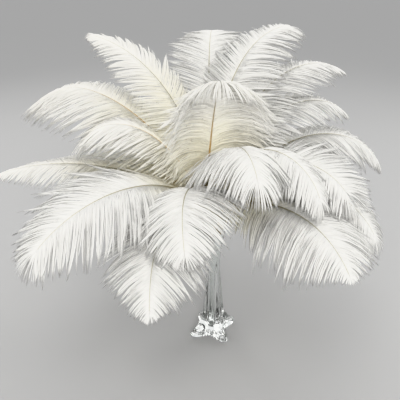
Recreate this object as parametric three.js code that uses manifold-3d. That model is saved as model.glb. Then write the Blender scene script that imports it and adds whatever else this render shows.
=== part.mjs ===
// An arrangement of white ostrich plumes in a clear pressed-glass trumpet vase.
//
// Millimetres, +Z up. The origin is the centre of the foot's flat underside, and
// the arrangement's front faces -Y. Every plume is a piece of its own that only
// stands in the vase: its bare quill drops into the flare, leans on the rim and
// bends out, and its two soft vanes hang from the shaft on either side.

import * as THREE from 'three';
import Module from 'manifold-3d';

const wasm = await Module();
wasm.setup();

const DEGREE = Math.PI / 180;
const GAP = 0.3; // clearance kept between pieces that touch
const TRIM_TOLERANCE = 0.1; // how far a trimmed edge may be straightened

// ---------------------------------------------------------------- glass vase

const VASE_HEIGHT = 300;
const RIDGE_COUNT = 4; // ribs that run from the foot's points up the column
const RIDGE_BEARING = 30; // direction of the first rib, in degrees
const VASE_SIDES = 24;

// Outside of the vase from the foot up: height, radius on a rib, radius between
// two ribs, and how sharply the rib stands out of the wall.
const VASE_OUTSIDE = [
  { z: 0, rib: 49, panel: 26, sharp: 2.3 },
  { z: 3, rib: 53, panel: 28.6, sharp: 2.4 },
  { z: 9.5, rib: 52.4, panel: 28.2, sharp: 2.5 },
  { z: 14, rib: 46.4, panel: 25, sharp: 3 },
  { z: 20.5, rib: 39.2, panel: 22, sharp: 3.6 },
  { z: 34, rib: 30.4, panel: 19.1, sharp: 3.4 },
  { z: 50, rib: 25, panel: 16.8, sharp: 3 },
  { z: 75, rib: 22, panel: 15.2, sharp: 2.8 },
  { z: 110, rib: 19, panel: 13.8, sharp: 2.6 },
  { z: 150, rib: 15, panel: 12.4, sharp: 2.2 },
  { z: 180, rib: 14.6, panel: 13.2, sharp: 1.5 },
  { z: 210, rib: 17.6, panel: 16.8, sharp: 1 },
  { z: 240, rib: 22.5, panel: 22.2, sharp: 1 },
  { z: 270, rib: 30, panel: 30, sharp: 1 },
  { z: 292, rib: 36.4, panel: 36.4, sharp: 1 },
  { z: 299, rib: 38, panel: 38, sharp: 1 },
];

// Bore of the vase from the lip down to its rounded bottom.
const VASE_INSIDE = [
  { z: VASE_HEIGHT, radius: 36.4 },
  { z: 298, radius: 34.8 },
  { z: 285, radius: 31.2 },
  { z: 265, radius: 25.8 },
  { z: 240, radius: 19 },
  { z: 210, radius: 13.6 },
  { z: 180, radius: 10.2 },
  { z: 150, radius: 9.2 },
  { z: 100, radius: 10.8 },
  { z: 50, radius: 12 },
  { z: 18, radius: 11.6 },
  { z: 12, radius: 7 },
];
const BORE_BOTTOM = 10.5;

// Closed solid through a stack of equal rings, closed by a point at each end. The
// second quarter of a ring and the fourth crease along the other diagonal, so that
// the two faces of a thin vane crease alike and don't pass through each other.
function stackedSolid(start, rings, end) {
  const sides = rings[0].length;
  const points = [start, ...rings.flat(), end];
  const last = points.length - 1;
  const corner = (ring, side) => 1 + ring * sides + (side % sides);
  const faces = [];
  for (let side = 0; side < sides; side++) {
    const otherDiagonal = side % (sides / 2) >= sides / 4;
    faces.push(0, corner(0, side + 1), corner(0, side));
    for (let ring = 0; ring + 1 < rings.length; ring++) {
      const [a, b] = [corner(ring, side), corner(ring, side + 1)];
      const [c, d] = [corner(ring + 1, side + 1), corner(ring + 1, side)];
      faces.push(...(otherDiagonal ? [a, b, d, b, c, d] : [a, b, c, a, c, d]));
    }
    faces.push(corner(rings.length - 1, side), corner(rings.length - 1, side + 1), last);
  }
  const geometry = new THREE.BufferGeometry();
  const coordinates = points.flatMap((point) => point.toArray());
  geometry.setAttribute('position', new THREE.Float32BufferAttribute(coordinates, 3));
  geometry.setIndex(faces);
  return geometry;
}

function vaseRing(radiusAt, z) {
  return Array.from({ length: VASE_SIDES }, (_, side) => {
    const bearing = (side / VASE_SIDES) * 2 * Math.PI;
    const radius = radiusAt(bearing);
    return new THREE.Vector3(radius * Math.cos(bearing), radius * Math.sin(bearing), z);
  });
}

function vaseGeometry() {
  const ribbed = ({ rib, panel, sharp }) => (bearing) => {
    const turn = RIDGE_COUNT * (bearing - RIDGE_BEARING * DEGREE);
    return panel + (rib - panel) * (0.5 + 0.5 * Math.cos(turn)) ** sharp;
  };
  const outside = VASE_OUTSIDE.map((level) => vaseRing(ribbed(level), level.z));
  const inside = VASE_INSIDE.map(({ z, radius }) => vaseRing(() => radius, z));
  const underside = new THREE.Vector3(0, 0, 0);
  const boreBottom = new THREE.Vector3(0, 0, BORE_BOTTOM);
  return stackedSolid(underside, [...outside, ...inside], boreBottom);
}

// ------------------------------------------------------------------- plumes

const QUILL_BOTTOM = 236; // height of the quills' cut ends inside the flare
const QUILL_RADIUS = 1.7; // at the rim
const QUILL_END_RADIUS = 1.3;
const SHAFT_TIP_RADIUS = 0.5;
const SHAFT_BARE = 0.11; // share of the plume above the rim before the vanes
const SHAFT_STEPS = 120; // straight steps that a shaft's curve is laid out in
const BEND_LENGTH = 70; // stretch over which a quill bends out over the rim
const BEND_AT_RIM = 0.3; // share of that bend that lies below the rim
const USUAL_DROOP = 1.5; // power of the share along a plume that the droop follows
const SWAY_POWER = 1.3; // and the power that the sideways turn follows

// Vanes: thickness half-way along the barbs, from where it thins to a knife edge,
// then the share of full width that a vane starts with, how fast it widens, and
// the share of its length from where it narrows again, how steadily, and by how
// much it usually has at the tip.
const VANE_THICKNESS = 0.8;
const VANE_START_WIDTH = 0.4;
const VANE_WIDENING = 1.9;
const VANE_NARROWS_FROM = 0.6;
const NARROWING_POWER = 1.25;
const USUAL_NARROWING = 0.8;

// Barbs: locks along each vane, every second one shorter by a share; the angle
// from the shaft, how far it closes on the way to the tip, and how much wider the
// first fluffy barbs spread, in degrees.
const BARB_ROWS = 10;
const SHORT_LOCK = 0.87;
const SWEEP_AT_BASE = 76;
const SWEEP_CLOSES = 24;
const SWEEP_POWER = 1.3;
const FLUFF_LENGTH = 0.15;
const FLUFF_SWEEP = 26;

// Barbs run out straight at first, and then turn towards the underside and the
// plume's tip and hang down, more and more towards their ends.
const BARB_CURL = 0.45;
const BARB_FORWARD = 0.3;
const USUAL_HANG = 0.4;
const BEND_POWER = 1.15;
const BARB_STEPS = 6;

// Quills stand in two rings, an outer one that leans on the rim and an inner one.
const SEATS = {
  outer: { low: 13.6, high: 31.6 },
  inner: { low: 8.3, high: 20.5 },
};

// One entry for each plume. seat: ring and bearing of its quill in the mouth;
// heading: bearing it leaves towards; lean and droop: its tilt from upright just
// above the rim and at its tip; late: how late along it the droop comes; length:
// above the rim; sway: how far the heading turns on the way; roll: turn of the
// vanes about the shaft; width: length of the longest barbs; narrows: share of it
// lost at the tip; sleek: how much closer the barbs lie there; hang: pull down on
// the barbs, as a share of what drives them out. Angles in degrees.
const PLUMES = [
  // Arching forward over the mouth, towards the front.
  { seat: ['inner', -86], heading: -70, lean: 10, droop: 124, length: 318, sway: -11,
    width: 108, narrows: 0.55, hang: 1.7 },
  { seat: ['inner', -160], heading: -58, lean: 9, droop: 70, late: 4, length: 290, sway: -30,
    width: 106, narrows: 0.4, hang: 1.0 },
  { seat: ['outer', -98], heading: -118, lean: 36, droop: 142, length: 304, sway: 38, roll: 10,
    width: 110, narrows: 0.75 },
  { seat: ['inner', -56], heading: -51, lean: 9, droop: 157, length: 330, sway: 4,
    width: 91, narrows: 0.6, hang: 1.5 },
  // Low over the rim, from the left round the front to the right.
  { seat: ['outer', -122], heading: -121, lean: 65, droop: 145, length: 322, sway: 34,
    width: 106, narrows: 0.5 },
  { seat: ['outer', -150], heading: -125, lean: 48, droop: 132, length: 392, sway: -17, roll: -16,
    width: 118, narrows: 0.6, sleek: 12, hang: 0.7 },
  { seat: ['outer', -52], heading: -44, lean: 66, droop: 115, length: 340, sway: -34, roll: 8,
    width: 115, narrows: 0.9, hang: 0.9 },
  { seat: ['outer', 180], heading: 181, lean: 63, droop: 111, length: 385, sway: -2, width: 79 },
  { seat: ['outer', -24], heading: -23, lean: 50, droop: 151, length: 316, sway: -12, roll: 6,
    width: 91, narrows: 0.6 },
  // Half-way up on the left and the right.
  { seat: ['inner', -160], heading: -172, lean: 28, droop: 138, late: 2.8, length: 293, sway: -6,
    width: 113, narrows: 0.4 },
  { seat: ['inner', -28], heading: -24, lean: 29, droop: 129, length: 316, sway: -25,
    width: 98, narrows: 0.5 },
  { seat: ['outer', 6], heading: 14, lean: 31, droop: 147, length: 354, sway: -14, roll: 8,
    width: 94, narrows: 0.7 },
  { seat: ['inner', 170], heading: 167, lean: 33, droop: 126, late: 1.7, length: 440, sway: -24, roll: -6,
    width: 134, narrows: 0.45, hang: 0.6 },
  { seat: ['outer', 156], heading: 161, lean: 68, droop: 110, length: 320, sway: -7, width: 72 },
  // Tall ones at the top.
  { seat: ['inner', 2], heading: 16, lean: 7, droop: 134, length: 354, sway: 3, roll: 10,
    width: 82 },
  { seat: ['inner', 30], heading: 31, lean: 2, droop: 122, length: 412, sway: -5, roll: 4,
    width: 89 },
  { seat: ['inner', 58], heading: 50, lean: -10, droop: 92, late: 1.7, length: 393, sway: -12, roll: 8,
    width: 96, narrows: 0.65 },
  { seat: ['inner', 142], heading: 152, lean: 9, droop: 81, length: 395, sway: 9, roll: -18,
    width: 82, sleek: 18 },
  { seat: ['inner', 114], heading: 95, lean: 12, droop: 122, late: 3, length: 398, sway: -12,
    width: 94, narrows: 0.45 },
  // Round the back.
  { seat: ['outer', 38], heading: 40, lean: 59, droop: 126, length: 330, sway: 2, width: 82 },
  { seat: ['outer', 66], heading: 73, lean: 66, droop: 129, length: 332, sway: 2, width: 79 },
  { seat: ['outer', 98], heading: 104, lean: 59, droop: 125, length: 335, sway: 0, width: 82 },
  { seat: ['outer', 130], heading: 133, lean: 65, droop: 132, length: 325, sway: 0, width: 79 },
  { seat: ['inner', 86], heading: 76, lean: 34, droop: 120, length: 335, sway: 0, width: 86 },
  { seat: ['outer', 116], heading: 121, lean: 36, droop: 118, length: 335, sway: 0, width: 82 },
];

// Tilt from upright along a plume, 0 at the rim and 1 at the tip.
function tiltAt(plume, share) {
  const { seat, lean, droop, length, late = USUAL_DROOP } = plume;
  const ring = SEATS[seat[0]];
  const seatTilt = Math.atan2(ring.high - ring.low, VASE_HEIGHT - QUILL_BOTTOM) / DEGREE;
  const bend = THREE.MathUtils.smoothstep((share * length) / BEND_LENGTH + BEND_AT_RIM, 0, 1);
  return seatTilt + (lean - seatTilt) * bend + (droop - lean) * share ** late;
}

// Point at a radius and a bearing, in radians, round the vase's axis.
function roundAxis(radius, bearing, z) {
  return new THREE.Vector3(radius * Math.cos(bearing), radius * Math.sin(bearing), z);
}

// The shaft from the rim to the tip: at each row its place, its direction, the
// way its upper side faces, and the way the right-hand vane leaves it.
function shaftFrames(plume, shares) {
  const { seat, heading, length, sway, roll = 0 } = plume;
  const place = roundAxis(SEATS[seat[0]].high, seat[1] * DEGREE, VASE_HEIGHT);
  const frames = [];
  for (let step = 0; step <= SHAFT_STEPS; step++) {
    const share = step / SHAFT_STEPS;
    const tilt = tiltAt(plume, share) * DEGREE;
    const turn = (heading + sway * share ** SWAY_POWER) * DEGREE;
    const along = roundAxis(Math.sin(tilt), turn, Math.cos(tilt));
    const upper = roundAxis(-Math.cos(tilt), turn, Math.sin(tilt));
    const side = new THREE.Vector3().crossVectors(upper, along);
    upper.applyAxisAngle(along, roll * DEGREE);
    side.applyAxisAngle(along, roll * DEGREE);
    frames.push({ place: place.clone(), along, upper, side });
    place.addScaledVector(along, length / SHAFT_STEPS);
  }
  return shares.map((share) => frames[Math.round(share * SHAFT_STEPS)]);
}

// Centre line of one lock of barbs, from the shaft to the edge of the vane.
function barbLine(plume, frame, vaneShare, hand, reach) {
  const { sleek = 0, hang = USUAL_HANG } = plume;
  const closed = (SWEEP_CLOSES + sleek) * vaneShare ** SWEEP_POWER;
  const spread = FLUFF_SWEEP * Math.max(0, 1 - vaneShare / FLUFF_LENGTH);
  const sweep = (SWEEP_AT_BASE - closed + spread) * DEGREE;
  const out = frame.along.clone().multiplyScalar(Math.cos(sweep));
  out.addScaledVector(frame.side, hand * Math.sin(sweep));
  const pull = frame.upper.clone().multiplyScalar(-BARB_CURL);
  pull.addScaledVector(frame.along, BARB_FORWARD);
  pull.z -= hang;
  return (share) => {
    const point = frame.place.clone();
    for (let step = 0; step < BARB_STEPS; step++) {
      const middle = (share * (step + 0.5)) / BARB_STEPS;
      const run = out.clone().addScaledVector(pull, middle ** BEND_POWER).normalize();
      point.addScaledVector(run, (reach * share) / BARB_STEPS);
    }
    return point;
  };
}

// Width of the vane along the plume, as a share of its longest barbs.
function vaneProfile({ narrows = USUAL_NARROWING }, vaneShare) {
  const base = Math.min(1, VANE_START_WIDTH + VANE_WIDENING * vaneShare);
  const towardsTip = Math.max(0, (vaneShare - VANE_NARROWS_FROM) / (1 - VANE_NARROWS_FROM));
  return base * (1 - narrows * towardsTip ** NARROWING_POWER);
}

// Ring of points round a bare quill or shaft, from its top by way of the left.
function quillRing(centre, frame, radius, corners) {
  return Array.from({ length: corners }, (_, corner) => {
    const turn = Math.PI / 2 + (corner / corners) * 2 * Math.PI;
    return centre.clone()
      .addScaledVector(frame.side, radius * Math.cos(turn))
      .addScaledVector(frame.upper, radius * Math.sin(turn));
  });
}

// Points round one vane, from its upper middle over its edge to its lower middle.
// The edge is a knife edge, or square where the vane is grown to cut a neighbour.
function vaneOutline(plume, frame, vaneShare, hand, reach, grow) {
  const line = barbLine(plume, frame, vaneShare, hand, reach);
  const nudge = 0.01; // share of the barb that its direction is measured over
  const beside = (share, height) => {
    const run = line(share + nudge).sub(line(share - nudge));
    const face = run.cross(frame.along).multiplyScalar(hand).normalize();
    return line(share).addScaledVector(face, -height);
  };
  const half = VANE_THICKNESS / 2 + grow;
  const end = 1 + grow / reach;
  const edge = grow ? [beside(end, grow), beside(end, -grow)] : [line(1)];
  return [beside(0.5, half), ...edge, beside(0.5, -half)];
}

// Ring round both vanes and the shaft between them, in the order of quillRing.
function vaneRing(plume, frame, vaneShare, reach, shaftRadius, grow) {
  const height = shaftRadius + grow;
  return [
    frame.place.clone().addScaledVector(frame.upper, height),
    ...vaneOutline(plume, frame, vaneShare, -1, reach, grow),
    frame.place.clone().addScaledVector(frame.upper, -height),
    ...vaneOutline(plume, frame, vaneShare, 1, reach, grow).reverse(),
  ];
}

// One plume as a closed solid; grow makes the larger copy that cuts a neighbour.
function plumeGeometry(plume, grow = 0) {
  const rows = Array.from({ length: BARB_ROWS + 1 }, (_, row) => row / BARB_ROWS);
  const shares = rows.map((share) => THREE.MathUtils.lerp(SHAFT_BARE, 1, share));
  const [atRim, ...frames] = shaftFrames(plume, [0, ...shares]);
  const [ring, bearing] = plume.seat;
  const cutEnd = roundAxis(SEATS[ring].low, bearing * DEGREE, QUILL_BOTTOM);
  const corners = vaneRing(plume, frames[1], rows[1], plume.width, QUILL_RADIUS, grow).length;
  const rings = [
    quillRing(cutEnd, atRim, QUILL_END_RADIUS + grow, corners),
    quillRing(atRim.place, atRim, QUILL_RADIUS + grow, corners),
    quillRing(frames[0].place, frames[0], QUILL_RADIUS + grow, corners),
  ];
  frames.forEach((frame, row) => {
    if (row === 0) return;
    const share = rows[row];
    const lock = row % 2 === 0 ? 1 : SHORT_LOCK;
    const reach = plume.width * vaneProfile(plume, share) * lock;
    const shaft = THREE.MathUtils.lerp(QUILL_RADIUS, SHAFT_TIP_RADIUS, share);
    rings.push(vaneRing(plume, frame, share, reach, shaft, grow));
  });
  const { place, along } = frames[BARB_ROWS];
  const tip = place.clone().addScaledVector(along, plume.width * vaneProfile(plume, 1) + grow);
  const start = cutEnd.clone();
  start.z -= grow;
  return stackedSolid(start, rings, tip);
}

// ------------------------------------------------------------------ assembly

function toSolid(geometry) {
  const vertProperties = geometry.getAttribute('position').array;
  const triVerts = new Uint32Array(geometry.getIndex().array);
  return new wasm.Manifold(new wasm.Mesh({ numProp: 3, vertProperties, triVerts }));
}

function toGeometry(solid) {
  const { vertProperties, triVerts } = solid.getMesh();
  const geometry = new THREE.BufferGeometry();
  geometry.setAttribute('position', new THREE.BufferAttribute(vertProperties, 3));
  geometry.setIndex(new THREE.BufferAttribute(triVerts, 1));
  return geometry;
}

function largestPiece(solid) {
  const pieces = solid.decompose();
  return pieces.reduce((best, piece) => (piece.volume() > best.volume() ? piece : best));
}

const glass = new THREE.MeshStandardMaterial({
  color: 0xdfe8ea,
  roughness: 0.05,
  metalness: 0,
  transparent: true,
  opacity: 0.4,
});
const feather = new THREE.MeshStandardMaterial({
  color: 0xf6f3ea,
  roughness: 0.9,
  metalness: 0,
});

const arrangement = new THREE.Group();

const vase = new THREE.Mesh(vaseGeometry(), glass);
vase.name = 'vase';
arrangement.add(vase);

// Every plume gives way, where its barbs would meet them, to those listed before it.
let placed = null;
PLUMES.forEach((plume, index) => {
  const whole = toSolid(plumeGeometry(plume));
  const clear = placed ? largestPiece(whole.subtract(placed).simplify(TRIM_TOLERANCE)) : whole;
  const room = toSolid(plumeGeometry(plume, GAP));
  placed = placed ? placed.add(room) : room;
  const mesh = new THREE.Mesh(toGeometry(clear), feather);
  mesh.name = `feather_${String(index + 1).padStart(2, '0')}`;
  arrangement.add(mesh);
});

export default arrangement;
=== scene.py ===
# White ostrich plumes that stand in a clear pressed-glass trumpet vase, dressed round
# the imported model. Metres, +Z up, the front of the arrangement towards -Y.

import math

import bpy
import numpy as np
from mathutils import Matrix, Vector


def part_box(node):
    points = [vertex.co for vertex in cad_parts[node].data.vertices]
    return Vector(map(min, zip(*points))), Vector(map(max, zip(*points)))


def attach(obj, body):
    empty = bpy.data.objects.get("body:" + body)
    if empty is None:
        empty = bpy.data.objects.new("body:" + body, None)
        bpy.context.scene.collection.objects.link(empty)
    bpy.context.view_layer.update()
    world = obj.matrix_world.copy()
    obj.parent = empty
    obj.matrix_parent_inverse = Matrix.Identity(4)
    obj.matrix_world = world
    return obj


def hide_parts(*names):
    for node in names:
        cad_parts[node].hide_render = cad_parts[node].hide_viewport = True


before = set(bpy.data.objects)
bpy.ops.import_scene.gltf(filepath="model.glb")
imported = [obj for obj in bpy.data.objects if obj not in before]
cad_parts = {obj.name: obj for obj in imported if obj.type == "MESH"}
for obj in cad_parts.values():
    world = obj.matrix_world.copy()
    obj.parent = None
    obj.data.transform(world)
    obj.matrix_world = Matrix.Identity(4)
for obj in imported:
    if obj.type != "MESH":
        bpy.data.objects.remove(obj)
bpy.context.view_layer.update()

# ------------------------------------------------------------------ camera
# A portrait lens at a person's height, about a metre from the plumes, looks down on
# them so that the front ones show their upper side.

camera_data = bpy.data.cameras.new("camera")
camera_data.sensor_width = 36
camera_data.lens = 49.5
camera = bpy.data.objects.new("camera", camera_data)
camera.location = (-0.027, -0.924, 0.781)
camera.rotation_euler = (math.radians(90 - 27.1), 0, 0)
bpy.context.scene.collection.objects.link(camera)
bpy.context.scene.camera = camera

# -------------------------------------------------------------- glass vase
# One piece of clear pressed glass: a thick foot with four points, a rib that runs up
# the column from each point, a narrow waist and a plain flared mouth. The mouth is
# fire-polished, and the bore ends in a round bottom above the solid foot.

VASE_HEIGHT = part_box("vase")[1].z
VASE_SIDES = 128
RIB_COUNT = 4
FIRST_RIB = math.radians(30)

# Outside from the foot up: height, radius on a rib, radius between two ribs, and how
# sharply the rib stands out of the wall.
VASE_OUTSIDE = [
    (0.0012, 0.0060, 0.0060, 1.0),
    (0.0011, 0.0220, 0.0170, 1.5),
    (0.0004, 0.0440, 0.0240, 2.3),
    (0.0000, 0.0490, 0.0262, 2.3),
    (0.0008, 0.0515, 0.0276, 2.3),
    (0.0030, 0.0530, 0.0286, 2.4),
    (0.0065, 0.0532, 0.0288, 2.5),
    (0.0095, 0.0524, 0.0282, 2.5),
    (0.0120, 0.0500, 0.0266, 2.6),
    (0.0140, 0.0464, 0.0250, 3.0),
    (0.0165, 0.0432, 0.0235, 3.4),
    (0.0205, 0.0392, 0.0220, 3.6),
    (0.0265, 0.0350, 0.0205, 3.6),
    (0.0340, 0.0304, 0.0191, 3.4),
    (0.0500, 0.0250, 0.0168, 3.0),
    (0.0750, 0.0220, 0.0152, 2.8),
    (0.1100, 0.0190, 0.0138, 2.6),
    (0.1500, 0.0150, 0.0124, 2.2),
    (0.1800, 0.0146, 0.0132, 1.5),
    (0.2100, 0.0176, 0.0168, 1.0),
    (0.2400, 0.0225, 0.0222, 1.0),
    (0.2700, 0.0300, 0.0300, 1.0),
    (0.2920, 0.0364, 0.0364, 1.0),
    (0.2975, 0.0380, 0.0380, 1.0),
    (0.2992, 0.0379, 0.0379, 1.0),
    (0.3000, 0.0372, 0.0372, 1.0),
]

# Bore from the lip down to its round bottom: height and radius.
VASE_INSIDE = [
    (0.2997, 0.0358),
    (0.2975, 0.0346),
    (0.2850, 0.0312),
    (0.2650, 0.0258),
    (0.2400, 0.0190),
    (0.2100, 0.0136),
    (0.1800, 0.0102),
    (0.1500, 0.0092),
    (0.1000, 0.0108),
    (0.0500, 0.0120),
    (0.0220, 0.0118),
    (0.0160, 0.0102),
    (0.0125, 0.0070),
    (0.0108, 0.0030),
]
BORE_END_INSET = 0.001
STEPS_BETWEEN_LEVELS = 4


def smooth_levels(levels):
    """The levels with more put between them on a curve that doesn't overshoot."""
    table = np.array(levels)
    rise = np.r_[0, np.cumsum(np.linalg.norm(np.diff(table[:, :2], axis=0), axis=1))]
    slope = np.gradient(table, rise, axis=0)
    secant = np.diff(table, axis=0) / np.diff(rise)[:, None]
    limit = 3 * np.minimum(
        np.abs(np.vstack([secant[:1], secant])), np.abs(np.vstack([secant, secant[-1:]]))
    )
    turning = np.vstack([secant[:1], secant]) * np.vstack([secant, secant[-1:]]) <= 0
    slope = np.where(turning, 0, np.clip(slope, -limit, limit))
    made = []
    for row in range(len(table) - 1):
        length = rise[row + 1] - rise[row]
        for share in np.arange(STEPS_BETWEEN_LEVELS) / STEPS_BETWEEN_LEVELS:
            square, cube = share**2, share**3
            made.append(
                (2 * cube - 3 * square + 1) * table[row]
                + (cube - 2 * square + share) * length * slope[row]
                + (3 * square - 2 * cube) * table[row + 1]
                + (cube - square) * length * slope[row + 1]
            )
    return [*made, table[-1]]


def deselect_all():
    bpy.ops.object.select_all(action="DESELECT")


outside = smooth_levels(VASE_OUTSIDE)
inside = smooth_levels([(z, radius, radius, 1.0) for z, radius in VASE_INSIDE])
levels = [*outside, *inside]
deselect_all()
bpy.ops.mesh.primitive_circle_add(vertices=VASE_SIDES, radius=1, fill_type="NGON")
vase = bpy.context.object
vase.name = "glass_vase"
bpy.ops.object.mode_set(mode="EDIT")
bpy.ops.mesh.select_all(action="SELECT")
for below, above in zip(levels, levels[1:]):
    bpy.ops.mesh.extrude_region_move(TRANSFORM_OT_translate={"value": (0, 0, above[0] - below[0])})
bpy.ops.object.mode_set(mode="OBJECT")

# The circle was extruded straight up; now every ring takes its level's radii.
place = np.zeros(len(vase.data.vertices) * 3)
vase.data.vertices.foreach_get("co", place)
place = place.reshape(-1, VASE_SIDES, 3)
bearing = np.arctan2(place[..., 1], place[..., 0])
for ring, (z, rib, panel, sharp) in enumerate(levels):
    crest = (0.5 + 0.5 * np.cos(RIB_COUNT * (bearing[ring] - FIRST_RIB))) ** sharp
    radius = panel + (rib - panel) * crest
    place[ring, :, 0] = radius * np.cos(bearing[ring])
    place[ring, :, 1] = radius * np.sin(bearing[ring])
    place[ring, :, 2] = z
vase.data.vertices.foreach_set("co", place.ravel())
vase.data.update()

# The last ring is drawn together into the bottom of the bore.
bpy.ops.object.mode_set(mode="EDIT")
bpy.ops.mesh.inset(thickness=BORE_END_INSET)
bpy.ops.mesh.merge(type="CENTER")
bpy.ops.mesh.select_all(action="SELECT")
bpy.ops.mesh.normals_make_consistent(inside=False)
bpy.ops.object.mode_set(mode="OBJECT")
bpy.ops.object.shade_smooth()

clear_glass = bpy.data.materials.new("clear_pressed_glass")
clear_glass.use_nodes = True
nodes, links = clear_glass.node_tree.nodes, clear_glass.node_tree.links
shader = nodes["Principled BSDF"]
shader.inputs["Base Color"].default_value = (0.97, 0.99, 0.98, 1)
shader.inputs["Transmission Weight"].default_value = 1
shader.inputs["IOR"].default_value = 1.5
shader.inputs["Roughness"].default_value = 0.02
ripple = nodes.new("ShaderNodeTexNoise")
ripple.inputs["Scale"].default_value = 60
ripple.inputs["Detail"].default_value = 2
bump = nodes.new("ShaderNodeBump")
bump.inputs["Strength"].default_value = 0.12
bump.inputs["Distance"].default_value = 0.0006
coordinates = nodes.new("ShaderNodeTexCoord")
links.new(coordinates.outputs["Object"], ripple.inputs["Vector"])
links.new(ripple.outputs["Fac"], bump.inputs["Height"])
links.new(bump.outputs["Normal"], shader.inputs["Normal"])
vase.data.materials.append(clear_glass)

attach(vase, "root")
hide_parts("vase")

# ------------------------------------------------------- how a plume grows
# A plume is one grown piece: a tapering shaft, tan where it leaves the vase and pale
# at the tip, with soft loose barbs in two vanes that bend over under their own
# weight and hang together in pointed locks. The quill below stands in the vase.

QUILL_BOTTOM = 0.236
QUILL_RADIUS = 0.0017
QUILL_END_RADIUS = 0.0013
SHAFT_TIP_RADIUS = 0.0005
SHAFT_BARE = 0.11
SHAFT_STEPS = 120
SHAFT_CORNERS = 8
SHAFT_RINGS = 49
SHAFT_POINT = 0.002
QUILL_ON_MAP = 0.1
BEND_LENGTH = 0.070
BEND_AT_RIM = 0.3
SWAY_POWER = 1.3
SEATS = {"outer": (0.0136, 0.0316), "inner": (0.0083, 0.0205)}

VANE_START_WIDTH = 0.4
VANE_WIDENING = 1.9
VANE_NARROWS_FROM = 0.6
NARROWING_POWER = 1.25
SWEEP_AT_BASE = math.radians(76)
SWEEP_CLOSES = math.radians(24)
SWEEP_POWER = 1.3
FLUFF_LENGTH = 0.15
FLUFF_SWEEP = math.radians(26)

BARB_SEGMENTS = 5
BARB_WIDTH = 0.0012
THINNEST_BARB = 0.75
THICKNESS_RANGE = 0.5
BARB_ROOT = 0.0005
BARB_LENGTHENED = 1.2
BARB_FLATNESS = 0.4
BARB_FORWARD = 0.3
BARB_CURL = 0.45
BEND_POWER = 1.15
BARB_TWIST = math.radians(35)
DENSER_TO_TIP = 1.15
TUFT_RANGE = 0.02
STRANDS_PER_TUFT_BARB = 14
# How far single barbs and locks stray from the even run of the vane: turn, lift, and
# length and weight as shares.
BARB_TURN = math.radians(2.5)
BARB_LIFT = math.radians(8)
BARB_LIFT_SHARE = 0.4
BARB_LENGTH_SPREAD = 0.07
BARB_WEIGHT_SPREAD = 0.15
SMALL_LOCK_SPREAD = (math.radians(1.5), math.radians(3), 0.04, 0.10)
LARGE_LOCK_SPREAD = (math.radians(2), math.radians(4.5), 0.07, 0.15)
LOCK_SPACING = 0.0046
SMALL_LOCK_SPACING = 0.0023
FEWEST_LOCKS = 4
LOCK_WANDER = 0.35
LOCK_WANDER_RATE = 1.7
LOCK_HAND_SHIFT = 2
# How far a barb's tip is drawn into its small and its large lock, and how late.
STRAY_SHARE = 0.05
STRAY_DRAWN_IN = 0.1
DRAWN_INTO_SMALL = 0.8
SMALL_DRAW_POWER = 1.2
DRAWN_INTO_LARGE = 0.88
LARGE_DRAW_POWER = 2.0
# How far the middle of a lock stands above the grooves beside it, and the share of a
# barb's length over which the painted shade in the grooves deepens.
RIDGE_HEIGHT = 0.0014
PAINTED_GROOVE_SHADE_STARTS = 0.4
# Width of a barb at each of its rings, as a share of its greatest width.
BARB_OUTLINE = np.array([0.8, 1.0, 1.0, 0.85, 0.6])


def unit(vectors):
    return vectors / np.linalg.norm(vectors, axis=-1, keepdims=True)


def narrowing(share):
    """How far along the narrowing end of the vane a place is, from 0 to 1."""
    return np.clip((share - VANE_NARROWS_FROM) / (1 - VANE_NARROWS_FROM), 0, 1) ** NARROWING_POWER


def grow_shaft(seat, heading, lean, droop, length, sway, late, roll):
    """Rows of place, direction, upper side and right-hand side from the rim to the tip."""
    low, high = SEATS[seat[0]]
    bearing = math.radians(seat[1])
    share = np.linspace(0, 1, SHAFT_STEPS + 1)
    ease = np.clip(share * length / BEND_LENGTH + BEND_AT_RIM, 0, 1)
    ease = ease**2 * (3 - 2 * ease)
    seat_tilt = math.atan2(high - low, VASE_HEIGHT - QUILL_BOTTOM)
    tilt = seat_tilt + (math.radians(lean) - seat_tilt) * ease
    tilt = tilt + math.radians(droop - lean) * share**late
    turn = np.radians(heading + sway * share**SWAY_POWER)
    along = np.c_[np.sin(tilt) * np.cos(turn), np.sin(tilt) * np.sin(turn), np.cos(tilt)]
    upper = np.c_[-np.cos(tilt) * np.cos(turn), -np.cos(tilt) * np.sin(turn), np.sin(tilt)]
    side = np.cross(upper, along)
    rolled = math.radians(roll)
    upper, side = (
        upper * math.cos(rolled) - side * math.sin(rolled),
        side * math.cos(rolled) + upper * math.sin(rolled),
    )
    rim = (high * math.cos(bearing), high * math.sin(bearing), VASE_HEIGHT)
    place = np.array(rim) + np.vstack([np.zeros(3), np.cumsum(along[:-1], axis=0)]) * length / SHAFT_STEPS
    return np.stack([place, along, upper, side])


def at(rows, share):
    """The shaft's place and directions at any shares of its length."""
    spot = np.clip(share, 0, 1) * SHAFT_STEPS
    row = np.minimum(spot.astype(int), SHAFT_STEPS - 1)
    part = (spot - row)[:, None]
    return rows[:, row] * (1 - part) + rows[:, row + 1] * part


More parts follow.
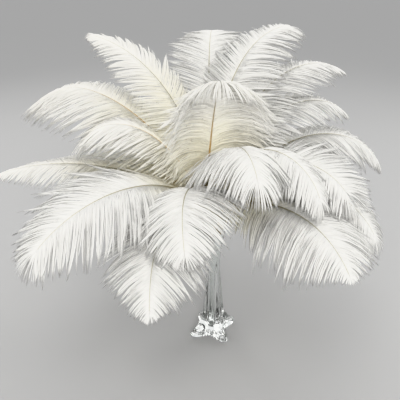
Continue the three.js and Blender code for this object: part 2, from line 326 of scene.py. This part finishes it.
def barb_paths(rows, vane, hand, reach, sweep, lift, fall, hang):
    """Places along each barb, and the face of the vane there. All but hang have one entry a barb."""
    place, along, upper, side = at(rows, SHAFT_BARE + (1 - SHAFT_BARE) * vane)
    out = along * np.cos(sweep)[:, None] + side * (hand * np.sin(sweep))[:, None]
    out = unit(out + upper * np.tan(lift)[:, None])
    pull = -upper * (BARB_CURL * fall)[:, None] + along * (BARB_FORWARD * fall)[:, None]
    pull[:, 2] -= hang * fall
    share = np.linspace(0, 1, BARB_SEGMENTS + 1)
    middle = (share[1:] + share[:-1]) / 2
    run = unit(out[:, None] + pull[:, None] * middle[None, :, None] ** BEND_POWER)
    steps = run * (reach[:, None, None] / BARB_SEGMENTS)
    root = place + side * (hand * BARB_ROOT)[:, None]
    grown = np.concatenate([np.zeros_like(steps[:, :1]), np.cumsum(steps, axis=1)], axis=1)
    return root[:, None] + grown, upper


def closed_strands(rings, tips, flat_under):
    """Points and faces of tapering strands with a flat base and a pointed end, and which of the
    faces are shaded smooth. With flat_under, the side from the last corner to the first is flat.
    rings is strand, ring, corner, coordinate, with the corners anticlockwise seen from the tip."""
    count, ring_count, corners, _ = rings.shape
    each = ring_count * corners + 1
    points = np.concatenate([rings.reshape(count, -1, 3), tips[:, None]], axis=1).reshape(-1, 3)
    faces = [list(range(corners))[::-1]]
    for ring in range(ring_count - 1):
        for corner in range(corners):
            after = (corner + 1) % corners
            low, high = ring * corners, (ring + 1) * corners
            faces.append([low + corner, low + after, high + after, high + corner])
    last = (ring_count - 1) * corners
    faces += [[last + corner, last + (corner + 1) % corners, each - 1] for corner in range(corners)]
    sizes = np.array([len(face) for face in faces])
    flat = np.concatenate([np.array(face) for face in faces])
    corners_all = (np.arange(count)[:, None] * each + flat[None]).ravel()
    round_side = np.r_[np.full(corners - 1, True), not flat_under]
    smooth = np.r_[False, np.tile(round_side, ring_count)]
    return points, corners_all, np.tile(sizes, count), np.tile(smooth, count)


def joined_mesh(name, parts):
    """One mesh from several (points, corners, sizes, smooth, uv, lock rise and painted groove shade,
    material) parts.
    """
    mesh = bpy.data.meshes.new(name)
    offset = np.cumsum([0, *[len(part[0]) for part in parts]])
    points = np.concatenate([part[0] for part in parts])
    corners = np.concatenate([part[1] + start for part, start in zip(parts, offset)])
    sizes = np.concatenate([part[2] for part in parts])
    smooth = np.concatenate([part[3] for part in parts])
    uv = np.concatenate([part[4] for part in parts])
    ridge_and_painted_shade = np.concatenate([part[5] for part in parts])
    material = np.concatenate([np.full(len(part[2]), part[6]) for part in parts])
    mesh.vertices.add(len(points))
    mesh.vertices.foreach_set("co", points.ravel())
    mesh.loops.add(len(corners))
    mesh.loops.foreach_set("vertex_index", corners)
    mesh.polygons.add(len(sizes))
    mesh.polygons.foreach_set("loop_start", np.r_[0, np.cumsum(sizes)[:-1]])
    mesh.polygons.foreach_set("material_index", material)
    mesh.polygons.foreach_set("use_smooth", smooth)
    mesh.uv_layers.new(name="plume").data.foreach_set("uv", uv[corners].ravel())
    mesh.attributes.new("ridge_and_painted_shade", "FLOAT", "POINT").data.foreach_set("value", ridge_and_painted_shade)
    mesh.update(calc_edges=True)
    mesh.validate()
    return mesh


def shaft_part(rows, seat, stout):
    """The quill from its cut end in the vase, and the shaft, which may be stouter above it."""
    low, _ = SEATS[seat[0]]
    bearing = math.radians(seat[1])
    cut = np.array([low * math.cos(bearing), low * math.sin(bearing), QUILL_BOTTOM])
    share = np.linspace(0, 1, SHAFT_RINGS)
    place, along, upper, side = at(rows, share)
    place = np.vstack([cut, cut + (place[0] - cut) / 2, place])
    upper = np.vstack([upper[:1], upper[:1], upper])
    side = np.vstack([side[:1], side[:1], side])
    radius = QUILL_RADIUS + (SHAFT_TIP_RADIUS - QUILL_RADIUS) * share
    radius = radius * (1 + stout * np.clip(share / SHAFT_BARE, 0, 1) * (1 - share))
    radius = np.r_[QUILL_END_RADIUS, (QUILL_END_RADIUS + QUILL_RADIUS) / 2, radius]
    turn = np.arange(SHAFT_CORNERS) / SHAFT_CORNERS * 2 * math.pi
    round_it = side[:, None] * -np.cos(turn)[None, :, None] + upper[:, None] * np.sin(turn)[None, :, None]
    rings = (place[:, None] + round_it * radius[:, None, None])[None]
    tip = (place[-1] + along[-1] * SHAFT_POINT)[None]
    points, corners, sizes, smooth = closed_strands(rings[:, :-1], tip, False)
    height = np.r_[np.repeat(np.r_[-QUILL_ON_MAP, -QUILL_ON_MAP / 2, share][:-1], SHAFT_CORNERS), 1]
    uv = np.c_[np.zeros(len(points)), height]
    return points, corners, sizes, smooth, uv, np.ones(len(points)), 1


def vane_part(rows, length, width, narrows, hang, sleek, rise, gather, strands, tuft, seed):
    """Both vanes: barbs in small locks, and these in larger locks that end in points."""
    draw = np.random.default_rng(seed)
    vane_length = length * (1 - SHAFT_BARE)
    rising = 1 - (1 - (np.arange(strands) + draw.random(strands)) / strands) ** DENSER_TO_TIP
    vane = np.concatenate([rising, rising, 1 - TUFT_RANGE * draw.random(tuft)])
    hand = np.concatenate([np.full(strands, 1.0), np.full(strands, -1.0), draw.choice([-1.0, 1.0], tuft)])
    in_tuft = np.arange(len(vane)) >= 2 * strands
    count = len(vane)

    def paths(where, turn, lift, longer, heavier):
        sweep = SWEEP_AT_BASE - rise * (1 - where) - (SWEEP_CLOSES + sleek) * where**SWEEP_POWER
        sweep = sweep + FLUFF_SWEEP * np.clip(1 - where / FLUFF_LENGTH, 0, 1)
        sweep = np.where(in_tuft, sweep * spread, sweep) + turn
        profile = np.minimum(1, VANE_START_WIDTH + VANE_WIDENING * where)
        profile = profile * (1 - narrows * narrowing(where))
        reach = BARB_LENGTHENED * width * profile * longer
        return barb_paths(rows, where, hand, reach, sweep, lift, heavier, hang)

    def locks_along(spacing):
        """How many locks a vane has, the lock that each barb is in, and the place across it."""
        locks = max(FEWEST_LOCKS, round(vane_length / spacing))
        spot = vane * locks + LOCK_WANDER * np.sin(vane * locks * LOCK_WANDER_RATE + LOCK_HAND_SHIFT * hand)
        lock = np.clip(spot.astype(int), 0, locks - 1)
        return locks, lock, np.clip(spot - lock, 0, 1)

    def shared(spacing, turn, lift, longer, heavier):
        """The paths of the locks that the barbs belong to, one row for each barb."""
        locks, lock, _ = locks_along(spacing)
        key = lock + locks * (hand > 0)
        values = [
            scale * draw.standard_normal(2 * locks)[key] for scale in (turn, lift, longer, heavier)
        ]
        where = np.where(in_tuft, vane, (lock + 0.5) / locks)
        return paths(where, values[0], values[1], 1 + values[2], 1 + values[3])[0]

    spread = draw.random(count)
    free, upper = paths(
        vane,
        BARB_TURN * draw.standard_normal(count),
        BARB_LIFT * draw.standard_normal(count) * BARB_LIFT_SHARE,
        1 + BARB_LENGTH_SPREAD * draw.standard_normal(count),
        1 + BARB_WEIGHT_SPREAD * draw.standard_normal(count),
    )
    small = shared(SMALL_LOCK_SPACING, *SMALL_LOCK_SPREAD)
    large = shared(LOCK_SPACING * gather, *LARGE_LOCK_SPREAD)
    # The rise across each large lock lifts its middle barbs, and where it falls off to the sides it marks
    # the grooves that get painted shade.
    ridge_and_painted_shade = np.sin(math.pi * locks_along(LOCK_SPACING * gather)[2])
    share = np.linspace(0, 1, BARB_SEGMENTS + 1)[None, :, None]
    stray = (draw.random(count) < STRAY_SHARE)[:, None, None] | in_tuft[:, None, None]
    into_small = np.where(stray, STRAY_DRAWN_IN, DRAWN_INTO_SMALL) * share**SMALL_DRAW_POWER
    into_large = np.where(stray, STRAY_DRAWN_IN, DRAWN_INTO_LARGE) * share**LARGE_DRAW_POWER
    path = free + (small - free) * into_small
    path = path + (large - path) * into_large
    path = path + upper[:, None] * (RIDGE_HEIGHT * ridge_and_painted_shade)[:, None, None] * share

    run = unit(np.diff(path, axis=1))
    run = np.concatenate([run[:, :1], unit(run[:, 1:] + run[:, :-1])], axis=1)
    across = unit(np.cross(run, upper[:, None]))
    raised = np.cross(across, run)
    twist = BARB_TWIST * draw.standard_normal(count)[:, None, None]
    across, raised = (
        across * np.cos(twist) + raised * np.sin(twist),
        raised * np.cos(twist) - across * np.sin(twist),
    )
    thick = BARB_WIDTH * (THINNEST_BARB + THICKNESS_RANGE * draw.random(count))[:, None, None]
    thick = thick * BARB_OUTLINE[None, :, None]
    base = path[:, :-1]
    rings = np.stack(
        [base + across * thick / 2, base + raised * thick * BARB_FLATNESS, base - across * thick / 2], axis=2
    )
    points, corners, sizes, smooth = closed_strands(rings[:, :, ::-1], path[:, -1], True)
    along_barb = np.r_[np.repeat(share.ravel()[:-1], 3), 1]
    uv = np.c_[np.tile(along_barb, count), np.repeat(vane, len(along_barb))]
    # Painted shade in the grooves between the large locks, deeper away from the shaft; the mesh carries one
    # minus it.
    painted_groove_shade = (1 - ridge_and_painted_shade)[:, None] * np.clip(along_barb / PAINTED_GROOVE_SHADE_STARTS, 0, 1)[None]
    return points, corners, sizes, smooth, uv, 1 - painted_groove_shade.ravel(), 0


# Cream at the root of the vane and by the shaft: partly the barbs' own colour and partly painted warm bounce
# light.
CREAM_AND_WARM_BOUNCE_ROOT = (0.99, 0.87, 0.58, 1)
CREAM_AND_WARM_BOUNCE_MIDDLE = (0.98, 0.95, 0.81, 1)
CREAM_MIDDLE_AT = 0.45
CREAM_ALONG_BARB = 0.35


def barb_material(name, cream_until, white, streak_tone, painted_groove_shade_tone):
    """Soft matt barbs: cream near the vase and by the shaft, partly own colour and partly painted warm
    bounce light; white outwards; painted shade in the lock grooves.
    """
    material = bpy.data.materials.new(name)
    material.use_nodes = True
    nodes, links = material.node_tree.nodes, material.node_tree.links
    shader = nodes["Principled BSDF"]
    shader.inputs["Roughness"].default_value = 0.75
    shader.inputs["Sheen Weight"].default_value = 0.25
    shader.inputs["Sheen Roughness"].default_value = 0.4
    shader.inputs["Specular IOR Level"].default_value = 0.25
    plume_map = nodes.new("ShaderNodeUVMap")
    plume_map.uv_map = "plume"
    split = nodes.new("ShaderNodeSeparateXYZ")
    links.new(plume_map.outputs["UV"], split.inputs["Vector"])
    outwards = nodes.new("ShaderNodeMath")
    outwards.operation = "MULTIPLY_ADD"
    outwards.inputs[1].default_value = CREAM_ALONG_BARB * cream_until
    links.new(split.outputs["X"], outwards.inputs[0])
    links.new(split.outputs["Y"], outwards.inputs[2])
    ramp = nodes.new("ShaderNodeValToRGB")
    ramp.color_ramp.elements[0].position = 0.0
    ramp.color_ramp.elements[0].color = CREAM_AND_WARM_BOUNCE_ROOT
    ramp.color_ramp.elements[1].position = cream_until
    ramp.color_ramp.elements[1].color = (*white, 1)
    middle = ramp.color_ramp.elements.new(cream_until * CREAM_MIDDLE_AT)
    middle.color = CREAM_AND_WARM_BOUNCE_MIDDLE
    links.new(outwards.outputs["Value"], ramp.inputs["Fac"])
    stretch = nodes.new("ShaderNodeMapping")
    stretch.inputs["Scale"].default_value = (3, 900, 1)
    links.new(plume_map.outputs["UV"], stretch.inputs["Vector"])
    streaks = nodes.new("ShaderNodeTexNoise")
    streaks.inputs["Scale"].default_value = 1
    streaks.inputs["Detail"].default_value = 1
    links.new(stretch.outputs["Vector"], streaks.inputs["Vector"])
    tone = nodes.new("ShaderNodeMapRange")
    tone.inputs["From Min"].default_value = 0.3
    tone.inputs["From Max"].default_value = 0.7
    tone.inputs["To Min"].default_value = streak_tone
    tone.inputs["To Max"].default_value = 1.0
    links.new(streaks.outputs["Fac"], tone.inputs["Value"])
    # Painted shade: barbs in the grooves between the locks are darkened in the colour.
    ridge_and_painted_shade = nodes.new("ShaderNodeAttribute")
    ridge_and_painted_shade.attribute_name = "ridge_and_painted_shade"
    painted_groove_shade = nodes.new("ShaderNodeMapRange")
    painted_groove_shade.inputs["From Min"].default_value = 0.1
    painted_groove_shade.inputs["From Max"].default_value = 0.75
    painted_groove_shade.inputs["To Min"].default_value = painted_groove_shade_tone
    painted_groove_shade.inputs["To Max"].default_value = 1.0
    links.new(ridge_and_painted_shade.outputs["Fac"], painted_groove_shade.inputs["Value"])
    shade = nodes.new("ShaderNodeMath")
    shade.operation = "MULTIPLY"
    links.new(tone.outputs["Result"], shade.inputs[0])
    links.new(painted_groove_shade.outputs["Result"], shade.inputs[1])
    toned = nodes.new("ShaderNodeMix")
    toned.data_type = "RGBA"
    toned.blend_type = "MULTIPLY"
    toned.inputs["Factor"].default_value = 1
    links.new(ramp.outputs["Color"], toned.inputs["A"])
    links.new(shade.outputs["Value"], toned.inputs["B"])
    links.new(toned.outputs["Result"], shader.inputs["Base Color"])
    return material


SHAFT_TIP_COLOUR = (0.42, 0.40, 0.32, 1)


def shaft_material(name, quill, shaft):
    """Horny shaft, with one colour where it leaves the vase and another half-way up."""
    material = bpy.data.materials.new(name)
    material.use_nodes = True
    nodes, links = material.node_tree.nodes, material.node_tree.links
    shader = nodes["Principled BSDF"]
    shader.inputs["Roughness"].default_value = 0.45
    plume_map = nodes.new("ShaderNodeUVMap")
    plume_map.uv_map = "plume"
    split = nodes.new("ShaderNodeSeparateXYZ")
    links.new(plume_map.outputs["UV"], split.inputs["Vector"])
    ramp = nodes.new("ShaderNodeValToRGB")
    ramp.color_ramp.elements[0].position = 0.0
    ramp.color_ramp.elements[0].color = (*quill, 1)
    ramp.color_ramp.elements[1].position = 0.85
    ramp.color_ramp.elements[1].color = SHAFT_TIP_COLOUR
    middle = ramp.color_ramp.elements.new(0.35)
    middle.color = (*shaft, 1)
    links.new(split.outputs["Y"], ramp.inputs["Fac"])
    links.new(ramp.outputs["Color"], shader.inputs["Base Color"])
    return material


# The last number of each material is how dark the painted shade in the lock grooves is.
white_barbs = barb_material("white_barbs", 0.45, (0.95, 0.945, 0.92), 0.76, 0.48)
# A copy of the barbs painted lighter, with less painted shade and more cream, for the plumes that lie more
# in shade.
cream_barbs_painted_lighter = barb_material("cream_barbs_painted_lighter", 0.75, (0.97, 0.96, 0.925), 0.86, 0.68)
grey_shaft = shaft_material("grey_shaft", (0.62, 0.48, 0.28), (0.27, 0.25, 0.17))
golden_shaft = shaft_material("golden_shaft", (0.52, 0.28, 0.09), (0.56, 0.36, 0.14))


def make_plume(
    number, seat, heading, lean, droop, length, width,
    sway=0, late=1.5, roll=0, narrows=0.8, hang=0.4, sleek=0, rise=0, gather=1,
    strands=560, stout=0.2, barbs=white_barbs, shaft=grey_shaft,
):
    """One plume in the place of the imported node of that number."""
    rows = grow_shaft(seat, heading, lean, droop, length, sway, late, roll)
    tuft = strands // STRANDS_PER_TUFT_BARB
    vanes = vane_part(
        rows, length, width, narrows, hang, math.radians(sleek), math.radians(rise),
        gather, strands, tuft, number,
    )
    mesh = joined_mesh(f"plume_{number:02d}", [vanes, shaft_part(rows, seat, stout)])
    mesh.materials.append(barbs)
    mesh.materials.append(shaft)
    piece = bpy.data.objects.new(f"plume_{number:02d}", mesh)
    bpy.context.scene.collection.objects.link(piece)
    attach(piece, "root")
    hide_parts(f"feather_{number:02d}")


# ------------------------------------------------- plumes over the mouth
# Four plumes rise from the middle of the mouth and arch forward over the front. The
# second turns the underside of its vanes and its tan shaft to the front.

make_plume(1, ("inner", -86), -70, 10, 124, 0.318, 0.090, sway=-11, narrows=0.55, hang=1.7, strands=680)
make_plume(2, ("inner", -160), -58, 9, 70, 0.290, 0.095, sway=-30, late=4, narrows=0.4,
           hang=1.4, rise=16, gather=0.7, strands=700, stout=0.8, barbs=cream_barbs_painted_lighter,
           shaft=golden_shaft)
make_plume(3, ("outer", -98), -118, 36, 142, 0.304, 0.092, sway=38, roll=10, narrows=0.75, strands=680)
make_plume(4, ("inner", -56), -51, 9, 157, 0.330, 0.076, sway=4, narrows=0.6, hang=1.5)

# ------------------------------------------------- plumes low over the rim
# Five plumes lean on the rim and bend down in front and at the sides, so that their
# upper side faces the front and the vane on the near side hangs lower.

make_plume(5, ("outer", -122), -121, 65, 145, 0.328, 0.086, sway=34, narrows=0.85, strands=680)
make_plume(6, ("outer", -150), -125, 48, 132, 0.392, 0.098, sway=-17, roll=-16, narrows=0.6,
           hang=0.35, sleek=12, gather=1.2, strands=680)
make_plume(7, ("outer", -52), -44, 66, 115, 0.340, 0.096, sway=-34, roll=8, narrows=0.9,
           hang=0.9, gather=1.1, strands=680)
make_plume(8, ("outer", 180), 181, 63, 111, 0.385, 0.066, sway=-2, barbs=cream_barbs_painted_lighter)
make_plume(9, ("outer", -24), -23, 50, 151, 0.316, 0.076, sway=-12, roll=6, narrows=0.6)

# ------------------------------------------------- plumes half-way up
# Five plumes go out to the left and the right above the low ones, and show more of
# their cream inner part, partly their own colour and partly painted warm bounce light.

make_plume(10, ("inner", -160), -172, 28, 134, 0.288, 0.094, sway=-6, late=2.8, narrows=0.5, hang=0.3,
           strands=680, stout=0.6, barbs=cream_barbs_painted_lighter, shaft=golden_shaft)
make_plume(11, ("inner", -28), -24, 29, 129, 0.292, 0.066, sway=-25, roll=20, narrows=0.35, hang=0.15)
make_plume(12, ("outer", 6), 14, 31, 147, 0.354, 0.078, sway=-14, roll=8, narrows=0.7)
make_plume(13, ("inner", 170), 167, 31, 111, 0.398, 0.112, sway=-22, late=1.7, roll=-6, narrows=0.3,
           hang=0.55, sleek=-8, strands=700, stout=0.4, barbs=cream_barbs_painted_lighter, shaft=golden_shaft)
make_plume(14, ("outer", 156), 161, 68, 110, 0.320, 0.060, sway=-7)

# ------------------------------------------------- tall plumes
# Five plumes stand up behind the others, and their tips curl over at the top.

make_plume(15, ("inner", 2), 16, 7, 134, 0.354, 0.068, sway=3, roll=10, gather=1.3)
make_plume(16, ("inner", 30), 31, 2, 122, 0.412, 0.074, sway=-5, roll=4, gather=1.2)
make_plume(17, ("inner", 58), 50, -10, 92, 0.393, 0.080, sway=-12, late=1.7, roll=8, narrows=0.5,
           hang=0.5, sleek=-6, gather=2, strands=600)
make_plume(18, ("inner", 142), 152, 9, 81, 0.395, 0.068, sway=9, roll=-18, sleek=18,
           gather=1.3, strands=620, barbs=cream_barbs_painted_lighter)
make_plume(19, ("inner", 114), 95, 12, 122, 0.398, 0.078, sway=-12, late=3, narrows=0.45, gather=1.2)

# ------------------------------------------------- plumes round the back
# Six plumes fill the back, where they bend out over the rim as the front ones do.

make_plume(20, ("outer", 38), 40, 59, 126, 0.330, 0.068, sway=2, strands=430)
make_plume(21, ("outer", 66), 73, 66, 129, 0.332, 0.066, sway=2, strands=430)
make_plume(22, ("outer", 98), 104, 59, 125, 0.335, 0.068, strands=430)
make_plume(23, ("outer", 130), 133, 65, 132, 0.325, 0.066, strands=430)
make_plume(24, ("inner", 86), 76, 34, 120, 0.335, 0.072, strands=430)
make_plume(25, ("outer", 116), 121, 36, 118, 0.335, 0.068, strands=430)

# ------------------------------------------------------------------ studio
# A plain pale floor and soft light from large panels: a warm one high in front, one
# below it, one overhead, and two behind for the plumes at the back.

FLOOR_SIZE = 30
deselect_all()
bpy.ops.mesh.primitive_plane_add(size=FLOOR_SIZE)
floor = bpy.context.object
floor.name = "floor"
floor_paint = bpy.data.materials.new("floor_paint")
floor_paint.use_nodes = True
floor_shader = floor_paint.node_tree.nodes["Principled BSDF"]
floor_shader.inputs["Base Color"].default_value = (0.38, 0.38, 0.38, 1)
floor_shader.inputs["Roughness"].default_value = 0.6
floor.data.materials.append(floor_paint)


def soft_panel(name, place, aim, size, power, colour):
    """A square light at a place, turned to face the point that it aims at."""
    light = bpy.data.lights.new(name, "AREA")
    light.shape = "SQUARE"
    light.size = size
    light.energy = power
    light.color = colour
    panel = bpy.data.objects.new(name, light)
    bpy.context.scene.collection.objects.link(panel)
    panel.location = place
    direction = np.array(aim) - np.array(place)
    across = math.hypot(direction[0], direction[1])
    panel.rotation_euler = (
        math.atan2(across, -direction[2]),
        0,
        math.atan2(direction[1], direction[0]) - math.pi / 2,
    )


MIDDLE = (0, 0, 0.38)
soft_panel("key", (-0.2, -1.2, 1.9), MIDDLE, 0.6, 9, (1.0, 0.98, 0.95))
soft_panel("front", (0.1, -1.55, 1.1), MIDDLE, 0.6, 15, (1.0, 0.99, 0.97))
soft_panel("top", (0.2, 0.5, 2.0), MIDDLE, 1.2, 7, (1.0, 1.0, 1.0))
soft_panel("back_left", (-1.1, 1.5, 1.2), MIDDLE, 0.8, 7, (1.0, 0.99, 0.97))
soft_panel("back_right", (1.3, 1.2, 1.2), MIDDLE, 0.8, 7, (1.0, 0.99, 0.97))

world = bpy.data.worlds.new("studio")
bpy.context.scene.world = world
world.use_nodes = True
world.node_tree.nodes["Background"].inputs["Color"].default_value = (1.0, 1.0, 1.0, 1)
world.node_tree.nodes["Background"].inputs["Strength"].default_value = 0.93
bpy.context.scene.view_settings.view_transform = "Khronos PBR Neutral"
# Light goes from barb to barb many times deep between the white plumes.
bpy.context.scene.cycles.diffuse_bounces = 10
bpy.context.scene.cycles.max_bounces = 16
